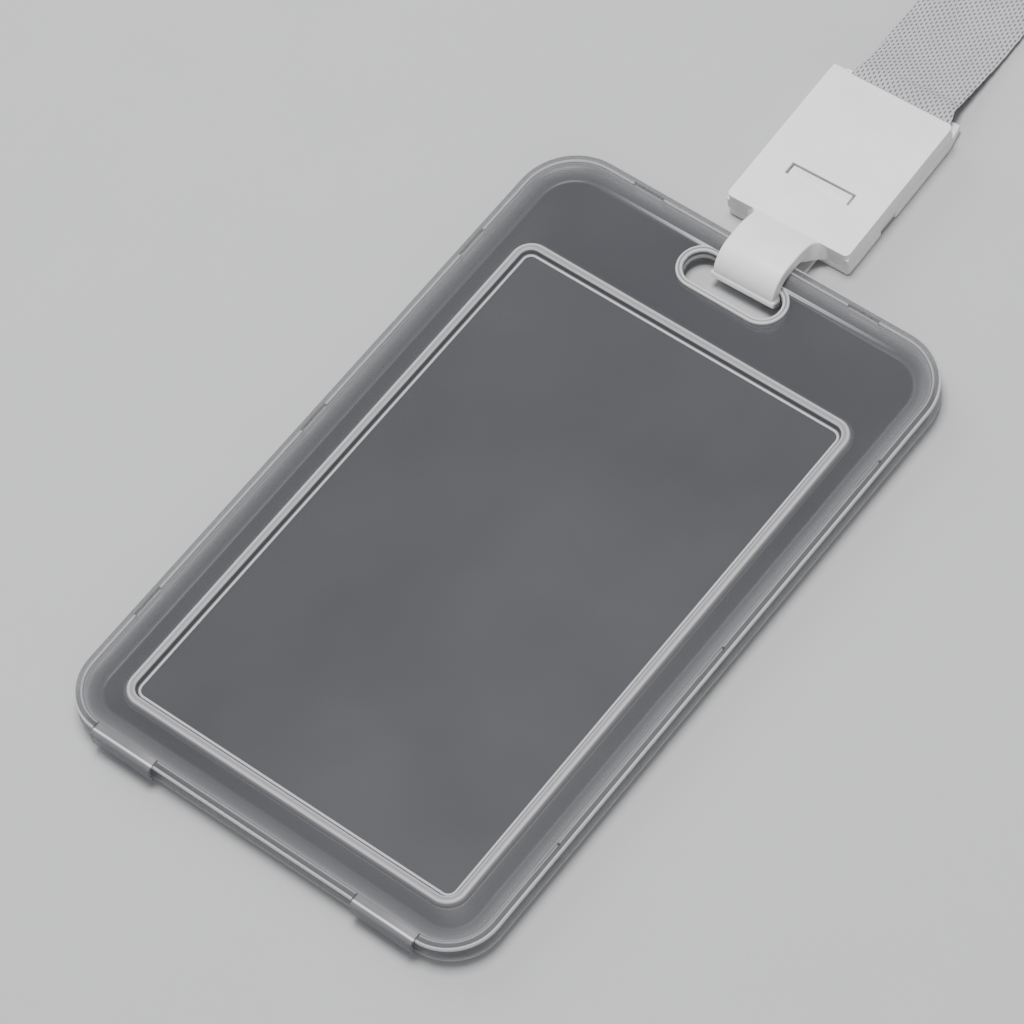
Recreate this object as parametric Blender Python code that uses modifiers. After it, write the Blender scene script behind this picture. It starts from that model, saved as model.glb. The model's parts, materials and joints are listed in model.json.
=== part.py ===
"""Lanyard badge holder: a hinged translucent card case, a folded strap clip and a ribbon lanyard.

Frame: metres, +Z up. The case lies on its back on z = 0 with its width along X and its clip end
towards +Y. The origin is under the middle of the case and clip together.
"""

import math

import bmesh
import bpy
from mathutils import Vector

MM = 0.001

# Driving dimensions, in millimetres
CASE_W = 68.0            # outer width
CASE_L = 108.0           # outer length
CASE_R_TOP = 9.0         # outer corner radius at the slot end
CASE_R_FOOT = 7.6        # and at the hinge end
GAP = 0.3                # clearance between pieces that touch

# Heights above the table
REAR_FACE = 1.1          # underside of the rear web, which its window bead holds up
REAR_WEB = 0.55          # web thickness
FRONT_BACK = 2.5         # underside of the front web, 0.85 above the rear web: the card pocket
FRONT_FACE = 3.05        # outer side of the front web
BEAD_TOP = 3.85          # top of the front window bead
FLANGE_TOP = 4.15        # top of the front cover's edge flange
RIM_TOP = 4.4            # top of the rear cover's wall

WALL = 1.15              # thickness of the rear cover's wall
LID_INSET = WALL + GAP   # the front cover drops inside that wall

# Window bead, shared by both covers
WINDOW_W = 56.0
WINDOW_Y = (5.75, 92.5)
WINDOW_R = 3.2
BEAD_W = 1.9
BEAD_SLOPE = 0.45        # how far each side of the bead leans in

# Slot for the strap clip
SLOT_Y = 101.6
SLOT_W = 15.4
SLOT_H = 5.2
COLLAR_W = 1.0
COLLAR_TOP = 3.4
SLEEVE_TOP = 2.2

# Living hinges on the bottom edge and snap tabs on the other three
HINGE_X = 21.55
HINGE_LEN = 9.9
HINGE_PROUD = 0.8
HINGE_SEAT = 3.5         # the wall is lowered to here under each hinge leaf
LEAF_FOOT = 1.4          # lower end of each hinge leaf, down the outside of the wall
TAB_PROUD = 0.45
TAB_LEN = 4.8
TAB_SIDE_Y = (18.6, 53.0, 87.0)
TAB_END_X = (-18.0, 17.8)

# Strap clip, in its own frame: u across, v away from the slot
CLIP_X = 1.25            # where the clip's line crosses the slot
CLIP_YAW = 1.7           # degrees
CLIP_W = 19.7
CLIP_V = (11.1, 36.9)
CLIP_TOP = 4.6
CLIP_MID = 3.3           # underside of the front plate
REAR_PLATE_TOP = 1.4
REAR_LIP_V = 38.9
LATCH_V = (18.15, 20.2)
LATCH_W = 10.4
NECK_W = 9.7
NECK_T = 1.4
NECK_LIFT = 0.35         # clearance between the neck and the rim below it
ARCH_V = 4.5             # centre and outer radius of the neck's quarter turn down into the slot
ARCH_R = 4.1
ARCH_TOP = RIM_TOP + NECK_LIFT + NECK_T
LOWER_ARM_T = 0.8

# Ribbon lanyard
RIBBON_W = 15.0
RIBBON_T = 0.5
TABLE_GAP = 0.02         # how far the ribbon stays above the table
LOWER_LEG = ((26.5, 1.95), (39.2, 1.95), (41.8, 1.1), (45.0, 0.32), (49.0, 0.27), (68.0, 0.27))
LEG_RISE = 0.8           # the upper leg lies this far above the lower one
TWIST_V = (68.3, 96.0)
COIL_C = (-48.0, 121.0)  # in the clip's frame
COIL_R = (26.0, 51.0)
TWIST_SPREAD = 1.2       # how much thicker the pair of legs gets on each side as it turns

# The origin is halfway between the living hinges and the clip's rear lip
MIDDLE_Y = (SLOT_Y + REAR_LIP_V + 0.1 - HINGE_PROUD) / 2

COLOURS = {
    "frosted": (0.36, 0.36, 0.38, 0.45),
    "hinge": (0.55, 0.55, 0.57, 0.6),
    "white": (0.72, 0.69, 0.69, 1.0),
    "ribbon": (0.42, 0.42, 0.44, 1.0),
}


def clear_scene():
    for ob in list(bpy.data.objects):
        bpy.data.objects.remove(ob)


def make_collection(name):
    collection = bpy.data.collections.new(name)
    bpy.context.scene.collection.children.link(collection)
    return collection


def make_material(name, colour, roughness):
    material = bpy.data.materials.new(name)
    material.use_nodes = True
    shader = material.node_tree.nodes["Principled BSDF"]
    shader.inputs["Base Color"].default_value = (*colour[:3], 1.0)
    shader.inputs["Alpha"].default_value = colour[3]
    shader.inputs["Roughness"].default_value = roughness
    return material


def rounded_ring(width, y_low, y_high, radius, z, steps=6, x_mid=0.0, foot_radius=None):
    """Points of a rounded rectangle at height z, anticlockwise from its right side."""
    points = []
    corners = (
        (1, 1, 0.0),
        (-1, 1, 90.0),
        (-1, -1, 180.0),
        (1, -1, 270.0),
    )
    for side_x, side_y, start in corners:
        r = foot_radius if foot_radius is not None and side_y < 0 else radius
        cx = x_mid + side_x * (width / 2 - r)
        cy = y_high - r if side_y > 0 else y_low + r
        for i in range(steps + 1):
            a = math.radians(start + 90.0 * i / steps)
            points.append((cx + r * math.cos(a), cy + r * math.sin(a), z))
    return points


def case_ring(inset, z):
    """The case's outline drawn in by inset."""
    width, top, foot = CASE_W - 2 * inset, CASE_R_TOP - inset, CASE_R_FOOT - inset
    return rounded_ring(width, inset, CASE_L - inset, top, z, foot_radius=foot)


def window_ring(inset, z):
    low, high = WINDOW_Y
    return rounded_ring(WINDOW_W - 2 * inset, low + inset, high - inset, WINDOW_R - inset, z, 4)


def slot_ring(outset, z):
    """The strap slot's outline grown by outset: a round-ended slot."""
    width, height = SLOT_W + 2 * outset, SLOT_H + 2 * outset
    return rounded_ring(width, SLOT_Y - height / 2, SLOT_Y + height / 2, height / 2 - 1e-4, z, 6)


def box_rings(u0, u1, v0, v1, z0, z1):
    """Two rectangles that loft into a box."""
    return [[(u0, v0, z), (u1, v0, z), (u1, v1, z), (u0, v1, z)] for z in (z0, z1)]


def loft(name, rings, collection, material=None, cyclic=False, parent=None):
    """Joins rings of equally many points into one closed body; open lofts get flat caps."""
    bm = bmesh.new()
    loops = [[bm.verts.new(Vector(p) * MM) for p in ring] for ring in rings]
    pairs = list(zip(loops, loops[1:] + (loops[:1] if cyclic else [])))
    for low, high in pairs:
        count = len(low)
        for i in range(count):
            j = (i + 1) % count
            bm.faces.new((low[i], low[j], high[j], high[i]))
    if not cyclic:
        bm.faces.new(loops[0][::-1])
        bm.faces.new(loops[-1])
    bmesh.ops.recalc_face_normals(bm, faces=bm.faces)
    mesh = bpy.data.meshes.new(name)
    bm.to_mesh(mesh)
    bm.free()
    ob = bpy.data.objects.new(name, mesh)
    collection.objects.link(ob)
    ob.parent = parent
    if material:
        mesh.materials.append(material)
    return ob


def boolean(ob, other, operation):
    modifier = ob.modifiers.new(f"{operation.lower()}_{other.name}", "BOOLEAN")
    modifier.operation = operation
    modifier.solver = "EXACT"
    modifier.object = other
    other.hide_render = True
    other.display_type = "WIRE"


def bead_rings(z_base, z_top):
    """Section of a window bead, sloped on both sides, from its base to its crest."""
    return [
        window_ring(0.0, z_base),
        window_ring(BEAD_SLOPE, z_top),
        window_ring(BEAD_W - BEAD_SLOPE, z_top),
        window_ring(BEAD_W, z_base),
    ]


def collar_rings(z_base, z_top):
    """Section of a ring around the slot."""
    return [
        slot_ring(COLLAR_W, z_base),
        slot_ring(COLLAR_W, z_top),
        slot_ring(0.25, z_top),
        slot_ring(0.25, z_base),
    ]


def tab_places():
    """Centre and outward direction of each snap tab, on the case's outline."""
    for y in TAB_SIDE_Y:
        yield (-CASE_W / 2, y), (-1, 0)
        yield (CASE_W / 2, y), (1, 0)
    for x in TAB_END_X:
        yield (x, CASE_L), (0, 1)


def tab_box(place, out, inner, outer, half_length, z0, z1):
    """A box on the case's edge, from inset inner to inset outer, along the edge."""
    (x, y), (ox, oy) = place, out
    near = (x - ox * inner, y - oy * inner)
    far = (x - ox * outer, y - oy * outer)
    us = sorted((near[0] - abs(oy) * half_length, far[0] + abs(oy) * half_length))
    vs = sorted((near[1] - abs(ox) * half_length, far[1] + abs(ox) * half_length))
    return box_rings(*us, *vs, z0, z1)


def make_rear_cover(parts, cutters, material, frame):
    wall_in = WALL + 0.12
    cover = loft("rear_cover", [
        case_ring(0.9, REAR_FACE),
        case_ring(0.25, REAR_FACE + 0.25),
        case_ring(0.0, REAR_FACE + 0.9),
        case_ring(0.0, RIM_TOP - 0.2),
        case_ring(0.2, RIM_TOP),
        case_ring(WALL - 0.2, RIM_TOP),
        case_ring(WALL, RIM_TOP - 0.2),
        case_ring(wall_in, REAR_FACE + REAR_WEB),
    ], parts, material, parent=frame)
    bead = loft("rear_bead", bead_rings(REAR_FACE + 0.2, 0.0), cutters, cyclic=True, parent=frame)
    boolean(cover, bead, "UNION")
    sleeve_base = REAR_FACE + REAR_WEB - 0.2
    sleeve = loft("slot_sleeve", collar_rings(sleeve_base, SLEEVE_TOP), cutters, None, True, frame)
    boolean(cover, sleeve, "UNION")
    hole = loft("rear_slot", [slot_ring(0.0, -1.0), slot_ring(0.0, 6.0)], cutters, parent=frame)
    boolean(cover, hole, "DIFFERENCE")
    for i, (place, out) in enumerate(tab_places()):
        pocket_in, pocket_out = WALL + 0.5, LID_INSET - TAB_PROUD - GAP
        rings = tab_box(place, out, pocket_in, pocket_out, TAB_LEN / 2 + GAP, 2.2, 6.0)
        pocket = loft(f"tab_pocket_{i + 1}", rings, cutters, parent=frame)
        boolean(cover, pocket, "DIFFERENCE")
    for side in (-1, 1):
        half = HINGE_LEN / 2 + GAP
        x = side * HINGE_X
        rings = box_rings(x - half, x + half, -1.0, WALL + 0.5, HINGE_SEAT, 6.0)
        seat = loft(f"hinge_seat_{side}", rings, cutters, parent=frame)
        boolean(cover, seat, "DIFFERENCE")
    return cover


def make_front_cover(parts, cutters, material, frame):
    cover = loft("front_cover", [
        case_ring(LID_INSET, FRONT_BACK),
        case_ring(LID_INSET, FLANGE_TOP - 0.15),
        case_ring(LID_INSET + 0.15, FLANGE_TOP),
        case_ring(LID_INSET + 0.65, FLANGE_TOP),
        case_ring(3.9, FRONT_FACE),
    ], parts, material, parent=frame)
    bead = loft("front_bead", bead_rings(FRONT_FACE - 0.2, BEAD_TOP), cutters, None, True, frame)
    boolean(cover, bead, "UNION")
    rings = collar_rings(FRONT_FACE - 0.2, COLLAR_TOP)
    collar = loft("slot_collar", rings, cutters, None, True, frame)
    boolean(cover, collar, "UNION")
    hole = loft("front_slot", [slot_ring(0.0, 1.0), slot_ring(0.0, 6.0)], cutters, parent=frame)
    boolean(cover, hole, "DIFFERENCE")
    for i, (place, out) in enumerate(tab_places()):
        tab_in, tab_out = LID_INSET + 0.5, LID_INSET - TAB_PROUD
        rings = tab_box(place, out, tab_in, tab_out, TAB_LEN / 2, FRONT_BACK + 0.1, 3.9)
        tab = loft(f"snap_tab_{i + 1}", rings, cutters, parent=frame)
        boolean(cover, tab, "UNION")
    return cover


def make_hinges(parts, material, frame):
    """Two thin leaves over the lowered wall and down its outside, where the covers fold."""
    outer, inner, top = -HINGE_PROUD, -GAP, RIM_TOP - 0.05
    section = (
        (outer + 0.1, LEAF_FOOT),
        (inner, LEAF_FOOT),
        (inner, HINGE_SEAT + GAP),
        (WALL, HINGE_SEAT + GAP),
        (WALL, top),
        (outer + 0.3, top),
        (outer, top - 0.3),
        (outer, LEAF_FOOT + 0.2),
    )
    for side, word in ((-1, "left"), (1, "right")):
        x = side * HINGE_X
        ends = (x - HINGE_LEN / 2, x + HINGE_LEN / 2)
        rings = [[(u, y, z) for y, z in section] for u in ends]
        loft(f"living_hinge_{word}", rings, parts, material, parent=frame)


def arch_section():
    """The neck's upper arm in the v-z plane: a rise over the rim and a quarter turn down."""
    top, centre_z = ARCH_TOP, ARCH_TOP - ARCH_R
    outside = [(CLIP_V[0] - GAP, CLIP_TOP), (9.6, top - 0.55), (7.2, top)]
    inside = [(CLIP_V[0] - GAP, CLIP_TOP - NECK_T), (9.3, top - 0.6 - NECK_T), (7.0, top - NECK_T)]
    for i in range(9):
        a = math.radians(90.0 + 90.0 * i / 8)
        c, s = math.cos(a), math.sin(a)
        outside.append((ARCH_V + ARCH_R * c, centre_z + ARCH_R * s))
        inside.append((ARCH_V + (ARCH_R - NECK_T) * c, centre_z + (ARCH_R - NECK_T) * s))
    return outside + inside[::-1]


def sideways(name, section, half_width, parts, material, frame):
    """A v-z outline made into a solid across the clip."""
    rings = [[(u, v, z) for v, z in section] for u in (-half_width, half_width)]
    return loft(name, rings, parts, material, parent=frame)


def make_neck(parts, material, frame):
    half = NECK_W / 2
    sideways("clip_upper_arm", arch_section(), half, parts, material, frame)
    fold_top = ARCH_TOP - ARCH_R - GAP
    fold = (
        (0.75, fold_top),
        (0.75, 0.7),
        (1.05, 0.2),
        (1.55, 0.0),
        (2.1, 0.0),
        (2.1, 0.8),
        (1.75, 1.0),
        (1.65, fold_top),
    )
    sideways("clip_fold", fold, half - 0.4, parts, material, frame)
    lower = (
        (2.4, 0.0),
        (CLIP_V[0] - GAP, 0.0),
        (CLIP_V[0] - GAP, LOWER_ARM_T),
        (2.4, LOWER_ARM_T),
    )
    sideways("clip_lower_arm", lower, half - 0.2, parts, material, frame)


def make_plates(parts, cutters, material, frame):
    low, high = CLIP_V
    front = loft("clip_front_plate", [
        rounded_ring(CLIP_W, low, high, 1.0, CLIP_MID, 3),
        rounded_ring(CLIP_W, low, high, 1.0, CLIP_TOP - 0.3, 3),
        rounded_ring(CLIP_W - 0.6, low + 0.3, high - 0.3, 0.8, CLIP_TOP, 3),
    ], parts, material, parent=frame)
    half = LATCH_W / 2
    rings = box_rings(-half, half, *LATCH_V, 2.0, 6.0)
    window = loft("latch_window", rings, cutters, parent=frame)
    boolean(front, window, "DIFFERENCE")
    for side in (-1, 1):
        inner, outer = RIBBON_W / 2 + 0.35, CLIP_W / 2 - 0.35
        ends = sorted((side * inner, side * outer))
        skirt_ends = (REAR_PLATE_TOP + GAP, CLIP_MID + 0.3)
        rings = box_rings(*ends, low + 0.6, high - 0.3, *skirt_ends)
        skirt = loft(f"front_skirt_{side}", rings, cutters, parent=frame)
        boolean(front, skirt, "UNION")
    loft("clip_rear_plate", [
        rounded_ring(CLIP_W - 0.4, low + 0.2, REAR_LIP_V, 1.3, 0.0, 3),
        rounded_ring(CLIP_W, low, REAR_LIP_V, 1.5, 0.3, 3),
        rounded_ring(CLIP_W, low, REAR_LIP_V, 1.5, REAR_PLATE_TOP, 3),
    ], parts, material, parent=frame)


def make_catch(parts, material, frame):
    """The bar that stands on the rear plate and snaps up through the front plate's window."""
    half = LATCH_W / 2 - 0.35
    low, high = LATCH_V
    base = REAR_PLATE_TOP + GAP
    bar = box_rings(-half, half, low + 0.35, high - 0.6, base, CLIP_TOP - 0.15)
    loft("clip_catch_bar", bar, parts, material, parent=frame)


def strap(name, route, parts, material, frame):
    """A flat ribbon along a v-z route."""
    above, below = [], []
    for i, point in enumerate(route):
        before, after = route[max(i - 1, 0)], route[min(i + 1, len(route) - 1)]
        along = Vector((after[0] - before[0], after[1] - before[1])).normalized()
        side = Vector((-along.y, along.x)) * RIBBON_T / 2
        above.append(tuple(Vector(point) + side))
        below.append(tuple(Vector(point) - side))
    sideways(name, above + below[::-1], RIBBON_W / 2, parts, material, frame)


def make_twist(parts, material, frame):
    """The pair of legs turning a quarter turn, from flat on the table to standing on edge."""
    rings = []
    steps = 8
    pair = RIBBON_T + LEG_RISE
    for i in range(steps + 1):
        t = i / steps
        v = TWIST_V[0] + (TWIST_V[1] - TWIST_V[0]) * t
        a = math.radians(90.0) * t
        c, s = math.cos(a), math.sin(a)
        half_w, half_t = RIBBON_W / 2, pair / 2 + TWIST_SPREAD * t
        lift = half_w * s + half_t * c + TABLE_GAP
        corners = ((-half_w, -half_t), (half_w, -half_t), (half_w, half_t), (-half_w, half_t))
        rings.append([(p * c - q * s, v, lift + p * s + q * c) for p, q in corners])
    loft("lanyard_twist", rings, parts, material, parent=frame)


def make_coil(parts, material, frame):
    """The stored length: a wound pair of legs on edge, as one turned ring."""
    inner, outer = COIL_R
    profile = ((outer, RIBBON_W), (outer, 0.0), (inner, 0.0), (inner, RIBBON_W))
    mesh = bpy.data.meshes.new("lanyard_coil")
    bm = bmesh.new()
    verts = [bm.verts.new((r * MM, 0.0, z * MM)) for r, z in profile]
    for a, b in zip(verts, verts[1:] + verts[:1]):
        bm.edges.new((a, b))
    bm.to_mesh(mesh)
    bm.free()
    mesh.materials.append(material)
    ring = bpy.data.objects.new("lanyard_coil", mesh)
    parts.objects.link(ring)
    ring.parent = frame
    ring.location = (COIL_C[0] * MM, COIL_C[1] * MM, 0.0)
    turn = ring.modifiers.new("turn", "SCREW")
    turn.steps = turn.render_steps = 48
    turn.use_merge_vertices = True
    turn.merge_threshold = 0.0001


def build():
    clear_scene()
    parts = make_collection("lanyard_badge_holder")
    cutters = make_collection("cutters")
    frosted = make_material("frosted_plastic", COLOURS["frosted"], 0.25)
    hinge = make_material("hinge_plastic", COLOURS["hinge"], 0.35)
    white = make_material("white_plastic", COLOURS["white"], 0.4)
    woven = make_material("woven_ribbon", COLOURS["ribbon"], 0.85)

    case = bpy.data.objects.new("case_frame", None)
    case.location = (0.0, -MIDDLE_Y * MM, 0.0)
    clip = bpy.data.objects.new("clip_frame", None)
    clip.location = (CLIP_X * MM, (SLOT_Y - MIDDLE_Y) * MM, 0.0)
    clip.rotation_euler.z = math.radians(CLIP_YAW)
    for empty in (case, clip):
        parts.objects.link(empty)

    make_rear_cover(parts, cutters, frosted, case)
    make_front_cover(parts, cutters, frosted, case)
    make_hinges(parts, hinge, case)
    make_neck(parts, white, clip)
    make_plates(parts, cutters, white, clip)
    make_catch(parts, white, clip)
    strap("lanyard_lower_leg", LOWER_LEG, parts, woven, clip)
    upper = [(v, z + LEG_RISE) for v, z in LOWER_LEG]
    strap("lanyard_upper_leg", upper, parts, woven, clip)
    make_twist(parts, woven, clip)
    make_coil(parts, woven, clip)


build()
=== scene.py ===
"""Looks for the lanyard badge holder: a frosted hinged card case, a white strap clip and a woven ribbon.

Each moulding is a loft of rings over a profile, joined and cut where the real one has tabs, seats and a slot.
"""

import json
import math

import bmesh
import bpy
from mathutils import Matrix, Vector
from mathutils.bvhtree import BVHTree
from mathutils.interpolate import poly_3d_calc


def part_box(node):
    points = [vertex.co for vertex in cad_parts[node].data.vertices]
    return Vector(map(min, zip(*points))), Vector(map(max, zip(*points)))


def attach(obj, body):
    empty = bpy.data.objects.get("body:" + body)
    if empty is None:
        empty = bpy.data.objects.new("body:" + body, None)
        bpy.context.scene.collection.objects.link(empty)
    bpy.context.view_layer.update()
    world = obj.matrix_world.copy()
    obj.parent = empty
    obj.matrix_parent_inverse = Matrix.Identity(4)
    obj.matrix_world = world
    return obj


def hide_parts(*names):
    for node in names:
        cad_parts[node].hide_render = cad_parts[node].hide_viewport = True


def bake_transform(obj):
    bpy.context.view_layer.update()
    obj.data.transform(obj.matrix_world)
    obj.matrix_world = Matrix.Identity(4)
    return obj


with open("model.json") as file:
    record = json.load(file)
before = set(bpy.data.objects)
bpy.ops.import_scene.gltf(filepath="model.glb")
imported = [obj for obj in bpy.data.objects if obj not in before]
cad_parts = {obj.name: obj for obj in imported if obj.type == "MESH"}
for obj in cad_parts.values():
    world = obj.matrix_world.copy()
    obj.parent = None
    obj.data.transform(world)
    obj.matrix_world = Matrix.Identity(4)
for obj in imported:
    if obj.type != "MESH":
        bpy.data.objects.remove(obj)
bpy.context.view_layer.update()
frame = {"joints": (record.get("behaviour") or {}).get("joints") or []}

MM = 0.001

# Everything below is in millimetres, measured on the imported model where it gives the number. In the names, _W is a
# width, _T a thickness, _R a radius, _Y and _V a place along the case or the clip, and _TOP and _FACE a height.
CASE_LOW, CASE_HIGH = (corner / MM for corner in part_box("rear_cover"))
CASE_W, CASE_L = CASE_HIGH.x - CASE_LOW.x, CASE_HIGH.y - CASE_LOW.y
CASE_Y = CASE_LOW.y
CASE_R_TOP, CASE_R_FOOT = 9.0, 7.6
RIM_TOP = CASE_HIGH.z
FRONT_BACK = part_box("front_cover")[0].z / MM
FLANGE_TOP = 4.15
REAR_FACE, REAR_WEB = 1.1, 0.55
FRONT_FACE = 3.05
BEAD_TOP, BEAD_DEEP = 3.85, 0.5
WALL = 1.15
RIM_R = 0.24
FOOT_R = 0.75
TAB_OUT = CASE_HIGH.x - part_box("front_cover")[1].x / MM
LID_INSET = TAB_OUT + 0.2
LID_FOOT_R, LID_EDGE_R = 0.15, 0.12

WINDOW_W = 56.0
WINDOW_Y = (CASE_Y + 5.75, CASE_Y + 92.5)
WINDOW_R = 3.2

SLOT_Y = CASE_Y + 101.6
SLOT_W, SLOT_H = 15.4, 5.2
COLLAR_TOP, SLEEVE_TOP = 3.4, 2.2
COLLAR_OUTER, COLLAR_INNER, COLLAR_R = 1.0, 0.05, 0.22

TAB_SIDE_Y = (18.6, 53.0, 87.0)
TAB_END_X = (-18.0, 17.8)
TAB_LEN = 4.8
TAB_TOP = 4.0
ABOVE_ALL = 6.0  # a height over every part of the case and the clip's plates, for cutters

LEAF_T, LEAF_R = 0.5, 0.5

CORNER_STEPS = 14
SHARP_ANGLE, BEVEL_ANGLE = 35.0, 40.0
PANE = -1.0  # the edge-highlight value of the window panes: below zero, so they are denser than the webs around them but no whiter

# The clip's own frame: u across it and v away from the slot, read off the joint that it swings on.
SWING = next(j for j in frame["joints"] if j["name"] == "clip_swing")
SWING_V = 4.5
CLIP_U = Vector(SWING["axis"]).normalized()
CLIP_V = Vector((-CLIP_U.y, CLIP_U.x, 0.0))
CLIP_AT = Vector(SWING["pos_m"]) / MM - CLIP_V * SWING_V
CLIP_AT.z = 0.0
CLIP_FRAME = Matrix((
    (CLIP_U.x, CLIP_V.x, 0.0, CLIP_AT.x),
    (CLIP_U.y, CLIP_V.y, 0.0, CLIP_AT.y),
    (0.0, 0.0, 1.0, 0.0),
    (0.0, 0.0, 0.0, 1.0),
))
PLATE_W = 19.7
PLATE_V = (11.1, 36.6)
PLATE_R = 0.7
PLATE_TOP, PLATE_MID = 4.6, 3.3
REAR_TOP, REAR_LIP_V = 1.4, 38.9
LATCH_V, LATCH_W, LATCH_GAP = (18.15, 20.2), 10.4, 0.4
NECK_W, NECK_T = 9.7, 1.9
NECK_FLARE, NECK_LIP = 1.6, 0.3
GUSSET_DEEP, GUSSET_V, GUSSET_RUN = 1.1, 7.0, 3.0
ARCH_TOP, ARCH_V, ARCH_R, ARCH_END = 6.15, 4.5, 4.1, 166
ARM_T, UNDER_ARM_Z = 0.6, 0.31

RIBBON_W, RIBBON_T = 15.0, 0.36
CORD_PITCH, PICK_PITCH = 0.52, 0.9


# ---------------------------------------------------------------- camera and studio


def add_camera():
    """The photograph's angle: a long lens from the lower right, a little rolled."""
    azimuth, elevation, roll = math.radians(47.72), math.radians(57.51), math.radians(-11.42)
    target = Vector((-3.97, -11.84, 0.0)) * MM
    distance, lens, sensor = 0.6415, 171.7, 36.0
    away = Vector((
        math.sin(azimuth) * math.cos(elevation),
        -math.cos(azimuth) * math.cos(elevation),
        math.sin(elevation),
    ))
    right = Vector((math.cos(azimuth), math.sin(azimuth), 0.0))
    up = away.cross(right)
    right, up = (
        right * math.cos(roll) + up * math.sin(roll),
        up * math.cos(roll) - right * math.sin(roll),
    )
    data = bpy.data.cameras.new("camera")
    data.lens, data.sensor_width = lens, sensor
    data.clip_start, data.clip_end = 0.01, 20.0
    camera = bpy.data.objects.new("camera", data)
    place = target + away * distance
    camera.matrix_world = Matrix((
        (right.x, up.x, away.x, place.x),
        (right.y, up.y, away.y, place.y),
        (right.z, up.z, away.z, place.z),
        (0.0, 0.0, 0.0, 1.0),
    ))
    bpy.context.scene.collection.objects.link(camera)
    bpy.context.scene.camera = camera


def add_light(name, place, size, power, colour=(1.0, 1.0, 1.0)):
    """A square soft light aimed at the case."""
    data = bpy.data.lights.new(name, "AREA")
    data.shape, data.size, data.energy, data.color = "SQUARE", size, power, colour
    lamp = bpy.data.objects.new(name, data)
    lamp.location = place
    lamp.rotation_euler = (-Vector(place)).to_track_quat("-Z", "Y").to_euler()
    bpy.context.scene.collection.objects.link(lamp)


def add_studio(floor_material):
    """A plain pale floor just under the case, a dim even world and three soft lights."""
    half_side, drop = 2.0, 0.0001
    bm = bmesh.new()
    bmesh.ops.create_grid(bm, x_segments=1, y_segments=1, size=half_side)
    mesh = bpy.data.meshes.new("floor")
    bm.to_mesh(mesh)
    bm.free()
    floor = bpy.data.objects.new("floor", mesh)
    floor.location.z = -drop
    mesh.materials.append(floor_material)
    bpy.context.scene.collection.objects.link(floor)
    world = bpy.data.worlds.new("studio")
    world.use_nodes = True
    background = world.node_tree.nodes["Background"]
    background.inputs["Color"].default_value = (0.93, 0.95, 1.0, 1.0)
    background.inputs["Strength"].default_value = 0.33
    bpy.context.scene.world = world
    add_light("overhead", (-0.05, 0.06, 0.85), 0.34, 10.5, (1.0, 0.99, 0.975))
    add_light("left", (-0.75, 0.25, 0.5), 0.6, 4.0, (0.97, 0.98, 1.0))
    add_light("right", (0.8, -0.55, 0.45), 0.7, 2.0)


# ---------------------------------------------------------------- materials


class Nodes:
    """A material, with short calls for making and joining its shader nodes."""

    def __init__(self, name):
        self.material = bpy.data.materials.new(name)
        self.material.use_nodes = True
        self.tree = self.material.node_tree
        self.shader = self.tree.nodes["Principled BSDF"]

    def add(self, kind, **settings):
        node = self.tree.nodes.new(kind)
        for key, value in settings.items():
            setattr(node, key, value)
        return node

    def link(self, source, target):
        self.tree.links.new(source, target)

    def noise(self, vector, scale, detail):
        node = self.add("ShaderNodeTexNoise")
        node.inputs["Scale"].default_value = scale
        node.inputs["Detail"].default_value = detail
        node.inputs["Roughness"].default_value = 0.55
        self.link(vector, node.inputs["Vector"])
        return node.outputs["Fac"]

    def remap(self, value, low, high, to_low, to_high):
        node = self.add("ShaderNodeMapRange")
        for key, number in (
            ("From Min", low), ("From Max", high), ("To Min", to_low), ("To Max", to_high),
        ):
            node.inputs[key].default_value = number
        self.link(value, node.inputs["Value"])
        return node.outputs["Result"]

    def math(self, operation, a, b=None):
        node = self.add("ShaderNodeMath", operation=operation)
        for socket, value in zip(node.inputs, (a, b)):
            if value is None:
                continue
            if isinstance(value, (int, float)):
                socket.default_value = value
            else:
                self.link(value, socket)
        return node.outputs["Value"]

    def mix(self, factor, a, b):
        node = self.add("ShaderNodeMix", data_type="RGBA")
        self.link(factor, node.inputs["Factor"])
        for key, value in (("A", a), ("B", b)):
            socket = next(s for s in node.inputs if s.name == key and s.type == "RGBA")
            if isinstance(value, tuple):
                socket.default_value = (*value, 1.0)
            else:
                self.link(value, socket)
        return next(s for s in node.outputs if s.type == "RGBA")

    def bump(self, height, strength, distance, normal=None):
        node = self.add("ShaderNodeBump")
        node.inputs["Strength"].default_value = strength
        node.inputs["Distance"].default_value = distance
        self.link(height, node.inputs["Height"])
        if normal:
            self.link(normal, node.inputs["Normal"])
        return node.outputs["Normal"]


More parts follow.
